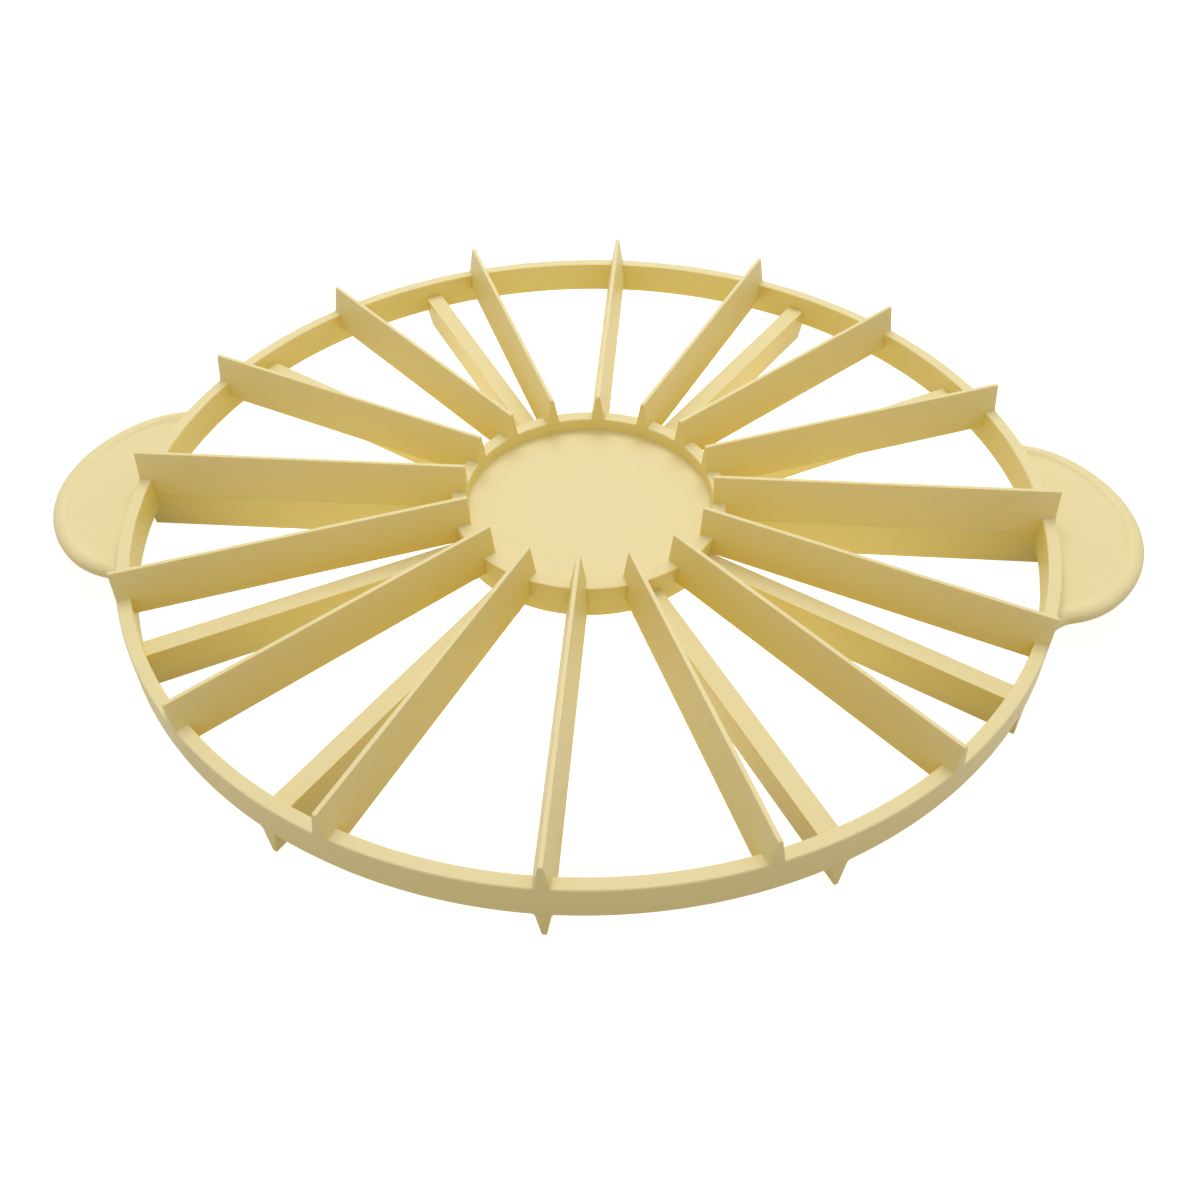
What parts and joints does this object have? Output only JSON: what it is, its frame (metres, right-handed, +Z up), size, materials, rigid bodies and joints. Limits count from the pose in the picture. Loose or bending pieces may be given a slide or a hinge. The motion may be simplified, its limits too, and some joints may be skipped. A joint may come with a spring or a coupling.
{
  "type": "cake portion marker",
  "caption": "Flat wheel with a band rim, dished hub, radial V-section blades on both faces and rounded side handles. Pressed on a round cake to mark equal slices.",
  "frame": {"origin": "on the surface it stands on, under the middle of the hub", "axes": "+X towards the right handle, +Y towards the far side of the rim, +Z up, with the face of closer-spaced blades up"},
  "size_m": [0.3218, 0.27, 0.0272],
  "materials": {
    "cream_plastic": "satin, as moulded"
  },
  "bodies": {
    "root": {"rim_ring": "cream_plastic", "hub": "cream_plastic", "upper_blade_01": "cream_plastic", "upper_blade_02": "cream_plastic", "upper_blade_03": "cream_plastic", "upper_blade_04": "cream_plastic", "upper_blade_05": "cream_plastic", "upper_blade_06": "cream_plastic", "upper_blade_07": "cream_plastic", "upper_blade_08": "cream_plastic", "upper_blade_09": "cream_plastic", "upper_blade_10": "cream_plastic", "upper_blade_11": "cream_plastic", "upper_blade_12": "cream_plastic", "upper_blade_13": "cream_plastic", "upper_blade_14": "cream_plastic", "upper_blade_15": "cream_plastic", "upper_blade_16": "cream_plastic", "lower_blade_01": "cream_plastic", "lower_blade_02": "cream_plastic", "lower_blade_03": "cream_plastic", "lower_blade_04": "cream_plastic", "lower_blade_05": "cream_plastic", "lower_blade_06": "cream_plastic", "lower_blade_07": "cream_plastic", "lower_blade_08": "cream_plastic", "lower_blade_09": "cream_plastic", "lower_blade_10": "cream_plastic", "lower_blade_11": "cream_plastic", "lower_blade_12": "cream_plastic", "handle_right": "cream_plastic", "handle_left": "cream_plastic"}
  },
  "joints": []
}
